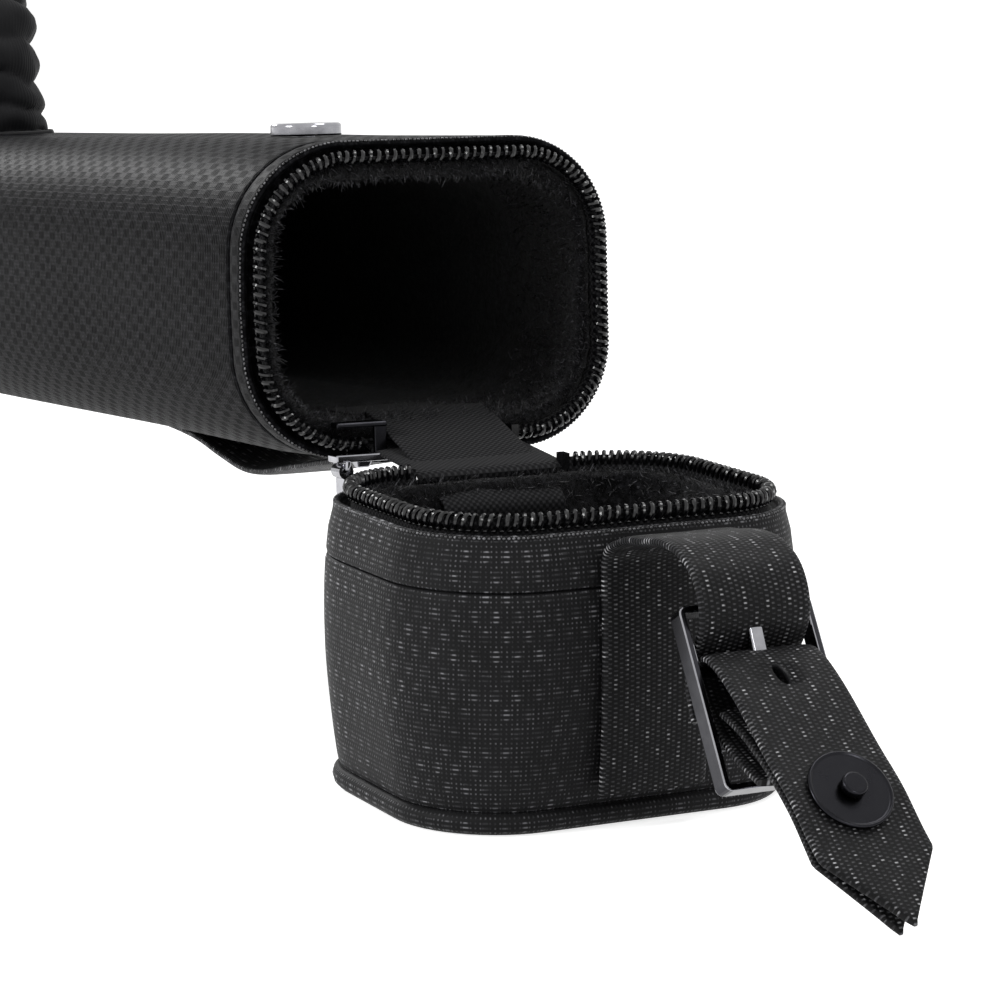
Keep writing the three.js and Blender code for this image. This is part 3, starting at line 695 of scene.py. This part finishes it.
def half_pieces(prefix, place, length, band, shape, body, leather):
    """The leather, plush and welt of one half of the case."""
    cover_end = length + 0.6 - 4.2
    outer = [(band + 0.25, 0.6), (band + 0.5, 0.2), (band + 1.2, 0.0)]
    step = 4.0 if length > 200 else 2.0
    outer += [(depth, 0.0) for depth in spread(band + 3.0, min(cover_end - 1.0, 120.0), step)]
    if length > 200:
        outer += [(depth, 0.0) for depth in spread(130.0, cover_end - 1.0, 10.0)]
    outer += [(cover_end, 0.3), (cover_end, COVER_WALL)]
    cover = case_shell(f"{prefix}_skin", place, outer + [(band + 0.25, COVER_WALL)], leather, shape)
    settle(cover, body, "case_leather", f"{prefix}_cover")

    lip = [(band + 0.15, 0.6), (band - 0.1, 0.2), (band - 0.9, 0.0), (band * 0.5, -0.1),
           (1.6, -0.1), (0.6, 0.0), (0.1, 0.4), (0.0, 0.8), (0.2, 1.2), (0.7, 1.45),
           (1.2, 1.8), (1.4, 3.3), (1.9, 3.3), (1.9, COVER_WALL + 0.1), (band + 0.15, COVER_WALL + 0.1)]
    edge = case_shell(f"{prefix}_turned_edge", place, lip, leather, shape)
    settle(edge, body, "case_leather", f"{prefix}_edge_band")
    # Ribs round the lip whose lighter colour paints the glints along the folded edge.
    ribs = round_stitches(
        f"{prefix}_lip_ribs_painted_glint", place, 0.35, 0.1, shape, 0.85, 0.0, (0.62, 0.24), LIP_GLINT_LEATHER)
    settle(ribs, body, "case_leather")

    welt_at = length - 1.5
    pull_in = 0.9 if length < 200 else 0.0
    welt = []
    for i in range(12):
        turn = 2 * math.pi * i / 12 + math.pi / 2
        welt.append((welt_at - 2.1 * math.sin(turn), 0.9 + pull_in - 2.1 * math.cos(turn)))
    piping = case_shell(f"{prefix}_welt", place, welt, leather)
    settle(piping, body, "case_leather", f"{prefix}_piping")

    base = [(length - 1.2, 2.4), (length - 0.5, 2.2), (length - 0.15, 2.6), (length, 3.4),
            (length, 6.0), (length, 11.0), (length, 16.0)]
    panel = case_shell(f"{prefix}_end_panel", place, base, leather, closed=True)
    settle(panel, body, "case_leather", f"{prefix}_end_cover")

    mouth = [(8.0, 3.9), (2.0, 3.9), (0.9, 4.0), (0.1, 4.7), (-0.1, 5.5), (0.3, 6.3), (0.9, 6.8)]
    mouth += [(depth, 6.9) for depth in spread(2.0, 44.0, 1.4)]
    if length > 200:
        mouth += [(depth, 6.5) for depth in spread(60.0, length - 5.0, 30.0)]
    mouth += [(mouth[-1][0], 3.9)]

    def fluff(depth, distance, inset):
        flare = near_flare(max(0.0, depth), distance) if length > 200 else 0.0
        if inset < 3.95:
            return flare
        tufts = noise.noise(Vector((depth / 1.8, distance / 1.8, 5.0)))
        waves = noise.noise(Vector((depth / 12, distance / 12, 2.0)))
        return flare + PILE_HIGH * tufts + PILE_HIGH * waves

    pile = case_shell(f"{prefix}_plush", place, mouth, PLUSH, fluff)
    settle(pile, body, "plush", f"{prefix}_lining")

    draw = random.Random(11 if length > 200 else 23)
    hairs = []
    for _ in range(5200 if length > 200 else 3600):
        depth = 26.0 * draw.random() ** 2.2
        inset = 4.3 + 2.4 * draw.random() if depth < 1.2 else 6.7
        distance = GIRTH * draw.random()
        point, normal = round_case(distance, inset - fluff(depth, distance, inset))
        lean = Vector((-0.9 if depth < 1.2 else -0.25, 0, 0))
        lean -= Vector((0, normal.x, normal.y)) * 0.8
        lean += Vector([draw.uniform(-1, 1) for _ in range(3)]) * 0.75
        size = draw.uniform(0.9, 2.1)
        root = Vector((depth, point.x, point.y))
        middle = root + lean.normalized() * size * 0.5
        curl = Vector([draw.uniform(-1, 1) for _ in range(3)]) * 0.45
        hairs.append([root, middle, middle + (lean.normalized() + curl) * size * 0.5])
    fibres = wire(f"{prefix}_pile_fibres", place, hairs, 0.1, FIBRE, (1.0, 0.8, 0.3), 0)
    settle(fibres, body, "plush")


def zip_half(prefix, place, body, flare):
    """The woven tape and the wound nylon coil that stand inside a lip, open at the hinge."""
    start = HINGE_HALF + 0.6
    end = GIRTH - start
    centre_inset = 3.1
    turns = round((end - start) / COIL_PITCH)
    steps = 10
    points = []
    for i in range(turns * steps + 1):
        distance = start + (end - start) * i / (turns * steps)
        turn = 2 * math.pi * i / steps
        point, normal = round_case(distance, centre_inset)
        point = point + normal * (1.05 * math.cos(turn) + flare(0.0, distance))
        points.append((-1.95 + 1.2 * math.sin(turn), point.x, point.y))

    def at_lip(depth, distance, inset):
        return flare(0.0, distance)

    seam = round_stitches(
        f"{prefix}_zip_seam", place, -0.45, 2.7, at_lip, COIL_PITCH, start, (1.1, 0.3), NYLON)
    settle(seam, body, "zip_fabric")
    coil = wire(f"{prefix}_coil", place, [points], 0.42, NYLON)
    settle(coil, body, "nylon_coil", f"{prefix}_zip_coil")

    bm = bmesh.new()
    rings = []
    section = [(1.6, 3.2), (-0.4, 3.1), (-1.0, 3.0), (-2.6, 3.1),
               (-2.6, 3.5), (-1.0, 3.9), (-0.4, 4.0), (1.6, 4.2)]
    for distance in spread(start - 0.8, end + 0.8, 2.0):
        def ring(i, distance=distance):
            depth, inset = section[i]
            point, _ = round_case(distance, inset - flare(0.0, distance))
            return Vector((depth, point.x, point.y)), distance, depth
        rings.append(ring)
    sweep_rings(bm, rings, len(section), True)
    tape = finish_piece(bm, f"{prefix}_tape", place, GROSGRAIN, smooth=False)
    settle(tape, body, "zip_fabric", f"{prefix}_zip_tape")


half_pieces("tube", TUBE_HALF, TUBE_LENGTH, TUBE_BAND, tube_shape, "tube", TUBE_LEATHER)
half_pieces("lid", LID_HALF, LID_DEPTH, LID_BAND, lid_shape, "lid", LID_LEATHER)
zip_half("tube", TUBE_HALF, "tube", near_flare)
zip_half("lid", LID_HALF, "lid", lambda depth, distance: 0.0)


# ---- Snap socket on the tube ----
SOCKET = TUBE @ Matrix.Translation((-SNAP_SETBACK, SNAP_SHIFT, CASE_HEIGHT + CLEARANCE))
socket = turned("socket_disc", SOCKET, [
    (2.6, 0), (7.1, 0), (7.3, 0.2), (7.3, 0.4), (7.3, 1.8), (7.3, 2.0), (7.12, 2.38),
    (6.7, 2.6), (6.5, 2.6), (3.4, 2.6), (3.2, 2.6), (2.78, 2.4), (2.6, 2.0), (2.6, 0)], NICKEL)
settle(socket, "tube", "nickel", "snap_socket")
pin = turned("socket_pin", SOCKET, [
    (0, 0.1), (2.45, 0.1), (2.45, 0.6), (1.2, 0.7), (1.0, 1.9), (0.7, 2.3), (0, 2.4)], NICKEL, 24)
settle(pin, "tube", "nickel")


# ---- Handle ----
def handle_line():
    """The middle of the sleeve: up from the front patch, back, and down to the rear one."""
    foot = CASE_HEIGHT + 0.5
    level = HANDLE_TOP - HANDLE_BEND
    points = [(HANDLE_FRONT, height) for height in spread(foot, level, 4.0)]
    for centre, quarter in ((HANDLE_FRONT - HANDLE_BEND, 0), (HANDLE_REAR + HANDLE_BEND, 1)):
        for i in range(1, 9):
            turn = math.pi / 2 * (quarter + i / 9)
            points.append((centre + HANDLE_BEND * math.cos(turn),
                           level + HANDLE_BEND * math.sin(turn)))
        if quarter == 0:
            points += [(x, HANDLE_TOP) for x in spread(centre, HANDLE_REAR + HANDLE_BEND, 6.0)]
    points += [(HANDLE_REAR, height) for height in spread(level, foot, 4.0)]
    return points


def gathered_sleeve():
    """A tube of fabric pushed into rolls 6 to 7 mm apart, which wander and merge."""
    line, headings, total = smooth_line(handle_line(), 0.75)
    around = 56
    rings = []
    for number, (at, heading) in enumerate(zip(line, headings)):
        run = total * number / (len(line) - 1)
        side = Vector((-heading.y, heading.x))

        def ring(i, at=at, side=side, run=run):
            turn = 2 * math.pi * i / around
            way = Vector((math.cos(turn), math.sin(turn)))
            stray = 3.8 * noise.noise(Vector((run / 22, way.x * 1.3, way.y * 1.3)))
            stray += 0.9 * noise.noise(Vector((run / 7, way.x * 2.5, way.y * 2.5 + 4)))
            fold = abs(math.sin(math.pi * (run + stray) / ROLL_PITCH))
            deep = 0.8 + 0.35 * noise.noise(Vector((run / 15, way.x, way.y + 9)))
            slump = 0.13 * noise.noise(Vector((run / 9, way.x * 0.8, way.y * 0.8 + 20)))
            swell = 1 + slump - 0.19 * deep * (1 - fold ** 0.7)
            pleat = 0.3 * noise.noise(Vector((run / 3.5, way.x * 7, way.y * 7)))
            ends = min(run, total - run)
            skirt = 1 + 0.1 * math.exp(-ends / 3.0)
            y = way.x * (SLEEVE_RADII[0] * swell * skirt + pleat)
            out = way.y * (SLEEVE_RADII[1] * swell * skirt + pleat)
            point = at + side * out
            return Vector((point.x, y, point.y)), turn * 12, run
        rings.append(ring)
    bm = bmesh.new()
    sweep_rings(bm, rings, around, True, 2 * math.pi * 12)
    return finish_piece(bm, "gathered_sleeve", TUBE, SLEEVE)


sleeve = gathered_sleeve()
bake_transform(sleeve, "tube", "handle",
         start=TUBE @ Vector((-335, 0, CASE_HEIGHT + 2)), end=TUBE @ Vector((-335, 0, CASE_HEIGHT + 15)))
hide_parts("handle_sleeve", "handle_web")


def sewn_patch(name, middle, node):
    """A square of leather with rounded edges, sewn down round its rim."""
    bm = bmesh.new()
    bmesh.ops.create_cube(bm, size=1.0)
    bmesh.ops.scale(bm, vec=PATCH, verts=bm.verts)
    upright = [e for e in bm.edges if abs(e.verts[0].co.z - e.verts[1].co.z) > 0.5]
    bevel_edges(bm, upright, 3.0, 5)
    rim = [e for e in bm.edges if e.verts[0].co.z > 0.4 and e.verts[1].co.z > 0.4]
    bevel_edges(bm, rim, 0.4, 3)
    place = TUBE @ Matrix.Translation((middle, 0, CASE_HEIGHT + 0.5))
    patch = finish_piece(bm, name, place, SMOOTH)
    settle(patch, "tube", "case_leather", node)
    spots = []
    for side in range(4):
        turn = Matrix.Rotation(math.pi / 2 * side, 3, "Z")
        reach, half = ((9.4, 12.5), (12.4, 9.5))[side % 2]
        for i in range(9):
            at = turn @ Vector((reach, half * (i / 4 - 1), 0))
            spots.append((at, turn @ Vector((0, 1, 0)), UPRIGHT))
    place = TUBE @ Matrix.Translation((middle, 0, CASE_HEIGHT + 1.05))
    seam = stitch_row(f"{name}_stitches", place, spots, THREAD)
    settle(seam, "tube", "case_leather")


sewn_patch("front_patch", HANDLE_FRONT, "handle_patch_front")
sewn_patch("rear_patch", HANDLE_REAR, "handle_patch_rear")


# ---- Loops for a shoulder strap under the tube ----
def underside_loop(name, start, direction, sag, node):
    """A strap sewn down at both ends that hangs by a sag, lowest before its middle."""
    flush = -CLEARANCE - STRAP_WALL / 2
    shares = [(0, 0), (0.1, 0.2), (0.27, 0.66), (0.37, 0.95), (0.45, 1), (0.54, 0.72),
              (0.65, 0.32), (0.83, 0.05), (1, 0)]
    points = [(start + direction * share * LOOP_RUN, flush - drop * sag) for share, drop in shares]
    loop = band_strip(name, TUBE, points, STRAP_WIDTH, STRAP_WALL, BEADED, spacing=1.6)
    settle(loop, "tube", "strap_leather", node)


underside_loop("front_loop", -9.0, -1, 7.4, "loop_front")
underside_loop("rear_loop", -TUBE_LENGTH + 27.0, 1, 4.2, "loop_rear")


# ---- Fabric across the hinge ----
def across_hinge(name, tube_points, lid_points, width, wall, nodes):
    """A strip from the tube to the lid that bends as the lid turns."""
    to_row = Matrix.Diagonal((MM, MM, MM, 1))
    places = [TUBE @ Vector((x, 0, z)) for x, z in tube_points]
    places += [LID_HALF @ Vector((depth, 0, out)) for depth, out in lid_points]
    points = [(place.x / MM, place.z / MM) for place in places]
    strip = band_strip(name, to_row, points, width, wall, GROSGRAIN, spacing=0.7)
    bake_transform(strip, "tube", "lid", start=places[len(tube_points) - 1], end=places[len(tube_points)])
    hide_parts(*nodes)


across_hinge("hinge_webbing", [(-24, 7.2), (-10, 7.2), (-2, 7.1)],
             [(2.5, 7.0), (10, 7.2), (24, 7.2)], 25.0, 0.9, ["webbing_tube_end", "webbing_lid_end"])
across_hinge("outer_flap", [(0.6, 3.6), (2.2, 2.0)],
             [(-1.6, 1.6), (-0.2, 3.4)], 31.0, 1.0, ["hinge_flap"])


# ---- Strap, buckle and snap ----
def strap_ease(run, across):
    """The strap dishes slightly between its edges."""
    return -0.25 * (1 - (across / (STRAP_WIDTH / 2)) ** 2)


JOIN = (14.6, 0.45)
sewn = [(2.2, -46), (2.9, -38), (3.2, -28), (3.0, -16), (2.6, -8), (2.8, -4.2), (4.4, -2.2),
        (7.6, -0.9), (11.0, 0.1), JOIN]
low = band_strip("strap_on_lid", STRAP, sewn, STRAP_WIDTH, STRAP_WALL, BEADED, lift=strap_ease)
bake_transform(low, "lid", "shoulder", start=STRAP @ Vector((0.5, 0, -6)), end=STRAP @ Vector((8.0, 0, 0)))
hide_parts("strap_sewn", "strap_shoulder")

drop = [JOIN, (18.4, 1.2), (22.5, 1.5), (27.4, 0.9), (32.2, -1.6), (35, -5.7), (35.5, -10),
        (33.9, -13.8), (31.6, -17.9), (31.9, -22.4), (33.7, -26.4)]
high = band_strip("strap_over_crest", STRAP, drop, STRAP_WIDTH, STRAP_WALL, BEADED, lift=strap_ease)
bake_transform(high, "shoulder", "drop", start=STRAP @ Vector((16, 0, 1)), end=STRAP @ Vector((31, 0, -2)))
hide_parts("strap_drop")


def cut_slot(strap_piece):
    """Cuts the prong's oval slot through the tongue, just past its fold."""
    bm = bmesh.new()
    middle = Matrix.Translation((SLOT[0], 0, SLOT[1]))
    middle = middle @ Matrix.Rotation(math.radians(FRAME_LEAN), 4, "Y")
    stretch = Matrix.Diagonal((2.5, 1.25, 1, 1))
    bmesh.ops.create_cone(bm, cap_ends=True, segments=28, radius1=1, radius2=1, depth=6,
                          matrix=middle @ stretch)
    cutter = finish_piece(bm, "slot_cutter", STRAP, SMOOTH)
    cut = strap_piece.modifiers.new("slot", "BOOLEAN")
    cut.operation = "DIFFERENCE"
    cut.solver = "EXACT"
    cut.material_mode = "TRANSFER"
    cut.object = cutter
    old = strap_piece.data
    strap_piece.data = evaluated_mesh(strap_piece)
    strap_piece.modifiers.clear()
    bpy.data.objects.remove(cutter)
    bpy.data.meshes.remove(old)


TIP_RUN = 14.0
tongue_line = [
    (54.4, -31.8), (49.2, -30.2), (43.2, -27.7), (38.3, -24.3), (35.3, -20.9), (34, -18.3),
    (34.7, -16.1), (36.7, -15.2), (39.3, -15.6), (43, -17.3), (48.4, -20.8), (56.6, -27),
    SNAP_ON_TONGUE, (71.8, -39), (84.5, -48.4)]
tongue = band_strip("tongue_outer", STRAP, tongue_line, STRAP_WIDTH, TONGUE_WALL, BEADED, TIP_RUN)
cut_slot(tongue)
settle(tongue, "tongue", "strap_leather", "tongue_front")
backing_line = [(41.6, -23.4), (48, -25.3), (55.2, -28.9), (63.1, -34.3), (70, -40.8),
                (80.6, -50.9)]
backing = band_strip(
    "tongue_inner", STRAP, backing_line, STRAP_WIDTH - 1, TONGUE_WALL, BEADED, TIP_RUN)
settle(backing, "tongue", "strap_leather", "tongue_back")

FRAME = STRAP @ Matrix.Translation((BAR[0], 0, BAR[1]))
FRAME = FRAME @ Matrix.Rotation(math.radians(FRAME_LEAN), 4, "Y").inverted()


def buckle():
    """A flat rectangular frame with rounded corners, its bevelled rims in bright nickel as a painted
    highlight, and a round centre bar. X is out of its plane and Z up it."""
    bm = bmesh.new()
    bmesh.ops.create_grid(bm, x_segments=1, y_segments=1, size=0.5)
    bmesh.ops.scale(bm, vec=(FRAME_WIDE, FRAME_LONG, 1), verts=bm.verts)
    bmesh.ops.bevel(bm, geom=bm.verts[:], offset=1.4, offset_type="OFFSET", segments=4,
                    profile=0.5, material=-1, affect="VERTICES")
    bmesh.ops.inset_region(bm, faces=bm.faces[:], thickness=FRAME_STRIP, use_even_offset=True,
                           use_boundary=True)
    opening = max(bm.faces, key=lambda face: face.calc_area())
    bmesh.ops.delete(bm, geom=[opening], context="FACES")
    made = bmesh.ops.extrude_face_region(bm, geom=bm.faces[:])["geom"]
    raised = [item for item in made if isinstance(item, bmesh.types.BMVert)]
    bmesh.ops.translate(bm, vec=(0, 0, FRAME_DEEP), verts=raised)
    middle = ((FRAME_ABOVE - FRAME_BELOW) / 2, -FRAME_DEEP / 2)
    bmesh.ops.translate(bm, vec=(0, *middle), verts=bm.verts)
    sharp = [e for e in bm.edges if len(e.link_faces) == 2 and e.calc_face_angle(0) > 1.0]
    bevel_edges(bm, sharp, 0.22, 2)
    # Painted highlight: the bevelled rims take the bright nickel, the flat faces the dark gunmetal.
    for face in bm.faces:
        if 0.15 < abs(face.normal.z) < 0.97:
            face.material_index = 1
    stand = Matrix(((0, 0, 1, 0), (1, 0, 0, 0), (0, 1, 0, 0), (0, 0, 0, 1)))
    bmesh.ops.transform(bm, matrix=stand, verts=bm.verts)
    rod = Matrix.Rotation(math.pi / 2, 4, "X")
    bmesh.ops.create_cone(bm, cap_ends=True, segments=20, radius1=0.9, radius2=0.9,
                          depth=FRAME_WIDE - 2, matrix=rod)
    piece = finish_piece(bm, "buckle", FRAME, GUNMETAL, smooth=False)
    piece.data.materials.append(NICKEL)
    settle(piece, "drop", "gunmetal", "buckle_frame")


buckle()
prong_points = []
for degrees in range(-150, 21, 17):
    turn = math.radians(degrees)
    prong_points.append((2.0 * math.cos(turn), 2.0 * math.sin(turn)))
prong_points.append((3.0, 11.4))
prong = band_strip("prong", FRAME, prong_points, 2.6, 1.4, NICKEL, edge=4.0, spacing=0.4)
settle(prong, "drop", "nickel", "buckle_prong")

SNAP = STRAP @ Matrix.Translation((SNAP_ON_TONGUE[0], 0, SNAP_ON_TONGUE[1]))
SNAP = SNAP @ Matrix.Rotation(math.radians(90 - SNAP_TURN), 4, "Y")
plate = turned("tongue_snap_plate", SNAP, [
    (1.5, 1.1), (7.1, 1.1), (7.3, 1.3), (7.3, 1.6), (7.2, 1.82), (7.0, 1.9), (6.85, 1.88),
    (6.7, 1.74), (6.6, 1.7), (6.45, 1.7), (1.7, 1.7), (1.5, 1.7), (1.5, 1.1)], BLACK_NICKEL, 64)
settle(plate, "tongue", "gunmetal", "snap_plate")
stud = turned("tongue_snap_stud", SNAP, [
    (0, RIVET_FOOT), (1.2, RIVET_FOOT), (1.2, 2.2), (2.0, 2.2), (2.2, 2.3), (2.2, 3.2),
    (2.1, 3.45), (1.9, 3.6), (1.75, 3.6), (0, 3.6)], BLACK_NICKEL, 40)
settle(stud, "tongue", "nickel", "snap_stud")


# ---- Zip slider and pull tab ----
def slider_part(name, blocks, offset, segments, material):
    """Boxes with softened edges. A block is its size, its middle, and the axis along which its
    lower half is narrowed, by shares of its X and Y."""
    bm = bmesh.new()
    for size, middle, axis, narrow in blocks:
        made = bmesh.ops.create_cube(bm, size=1.0)["verts"]
        bmesh.ops.scale(bm, vec=size, verts=made)
        for vert in made:
            if vert.co[axis] < 0:
                vert.co.x *= narrow[0]
                vert.co.y *= narrow[1]
        bmesh.ops.translate(bm, vec=middle, verts=made)
    bevel_edges(bm, bm.edges[:], offset, segments)
    return finish_piece(bm, name, TUBE, material, smooth=False)


# The outer plate, drawn in towards its nose, and the crown that the bail stands over.
slider = slider_part("slider_body", [
    ((6.0, 11.0, 1.5), (SLIDER_X, -18.5, 0.85), 1, (0.7, 1)),
    ((3.4, 3.2, 1.5), (SLIDER_X, -17.9, -0.45), 2, (0.6, 0.72))], 0.32, 2, NICKEL)
settle(slider, "slider", "nickel", "zip_slider")
# The inner plate and the web between the coils, in black enamel.
plates = slider_part("slider_plates", [
    ((5.0, 10.0, 1.0), (SLIDER_X, -18.5, 7.0), 1, (0.62, 1)),
    ((1.1, 2.5, 6.2), (4.4, -14.25, 4.0), 1, (1, 1))], 0.3, 3, BLACK_NICKEL)
settle(plates, "slider", "nickel")
BAIL_Y = -22.0
bail_points = []
for i in range(17):
    turn = math.pi * i / 16
    bail_points.append((SLIDER_X - 2.9 * math.cos(turn), BAIL_Y, 0.4 - 2.0 * math.sin(turn)))
bail = wire("slider_bail", TUBE, [bail_points], 0.5, NICKEL, resolution=3)
settle(bail, "slider", "nickel")

# ---- CAD pieces that keep their own shape ----
CAD_FINISH = {
    "tube_board": BOARD, "lid_board": BOARD, "tube_end_board": BOARD, "lid_end_board": BOARD,
    "tube_end_pad": PLUSH, "lid_end_pad": PLUSH, "tube_zip_stop": NYLON, "lid_zip_stop": NYLON,
    "snap_shank": NICKEL, "tongue_washer": NICKEL, "zip_pull_tab": NICKEL,
}
for node_name, finish in CAD_FINISH.items():
    data = frame["nodes"][node_name].data
    data.materials.clear()
    data.materials.append(finish)


# ---- Floor, light and camera ----
def studio():
    """A white floor that keeps its shadow, a white surround and four soft lamps."""
    bm = bmesh.new()
    bmesh.ops.create_grid(bm, x_segments=1, y_segments=1, size=6.0)
    material = bpy.data.materials.new("matt_white_floor")
    floor = finish_piece(bm, "floor", Matrix.Identity(4), material, smooth=False)
    material.use_nodes = True
    tree = material.node_tree
    tree.nodes.clear()
    path = add_node(tree, "ShaderNodeLightPath", {}).outputs
    seen = add_node(tree, MATH, {0: path["Is Camera Ray"], 1: path["Is Glossy Ray"]}, **LARGER)
    matt = add_node(tree, "ShaderNodeBsdfDiffuse", {"Color": linear("#e6e6e6")})
    lift = add_node(tree, MATH, {0: seen, 1: 0.75}, **TIMES)
    glow = add_node(tree, "ShaderNodeEmission", {"Color": (1, 1, 1, 1), "Strength": lift})
    both = add_node(tree, "ShaderNodeAddShader", {0: matt, 1: glow})
    add_node(tree, "ShaderNodeOutputMaterial", {"Surface": both})

    world = bpy.data.worlds.new("surround")
    bpy.context.scene.world = world
    world.use_nodes = True
    tree = world.node_tree
    tree.nodes.clear()
    path = add_node(tree, "ShaderNodeLightPath", {}).outputs
    clear = add_node(tree, MATH, {
        0: path["Is Camera Ray"], 1: path["Is Transmission Ray"]}, **LARGER)
    seen = add_node(tree, MATH, {0: clear, 1: path["Is Glossy Ray"]}, **LARGER)
    strength = add_node(tree, RANGE, {0: seen, 3: 0.35, 4: 1.0})
    sky = add_node(tree, "ShaderNodeBackground", {"Color": (1, 1, 1, 1), "Strength": strength})
    add_node(tree, "ShaderNodeOutputWorld", {"Surface": sky})

    target = Vector((0.36, 0, 0.06))
    lamps = [("key", (0.35, -1.3, 0.75), 0.4, 11.0), ("front", (1.7, 0.1, 0.7), 0.35, 4.0),
             ("top", (0.3, 0.6, 1.5), 0.5, 7.0), ("back", (-1.25, -0.2, 0.72), 0.35, 9.0)]
    for name, where, size, power in lamps:
        light = bpy.data.lights.new(name, "AREA")
        light.size = size
        light.energy = power
        lamp = bpy.data.objects.new(name, light)
        lamp.location = where
        lamp.rotation_euler = (target - Vector(where)).to_track_quat("-Z", "Y").to_euler()
        bpy.context.scene.collection.objects.link(lamp)


def camera():
    """Looks at the open mouth from in front and to the side, from a little above."""
    azimuth, height, roll = (math.radians(value) for value in (62.865, 10.04, -0.255))
    lens_length = 3522.3
    distance = 675.16
    side, sensor = 1000, 36.0
    shown_at = (438.03, 452.63)
    back = Vector((math.sin(azimuth) * math.cos(height), -math.cos(azimuth) * math.cos(height),
                   math.sin(height)))
    right = Vector((math.cos(azimuth), math.sin(azimuth), 0))
    up = back.cross(right)
    turn = Matrix((right, up, back)).transposed().to_4x4() @ Matrix.Rotation(-roll, 4, "Z")
    aside = (shown_at[0] - side / 2) / lens_length * distance * MM
    above = (side / 2 - shown_at[1]) / lens_length * distance * MM
    data = bpy.data.cameras.new("camera")
    data.sensor_width = sensor
    data.lens = lens_length / side * sensor
    data.clip_start = 0.01
    view = bpy.data.objects.new("camera", data)
    eye = MOUTH + turn.to_3x3() @ Vector((-aside, -above, distance * MM))
    view.matrix_world = Matrix.Translation(eye) @ turn
    bpy.context.scene.collection.objects.link(view)
    bpy.context.scene.camera = view


studio()
camera()
scene = bpy.context.scene
scene.view_settings.view_transform = "Standard"
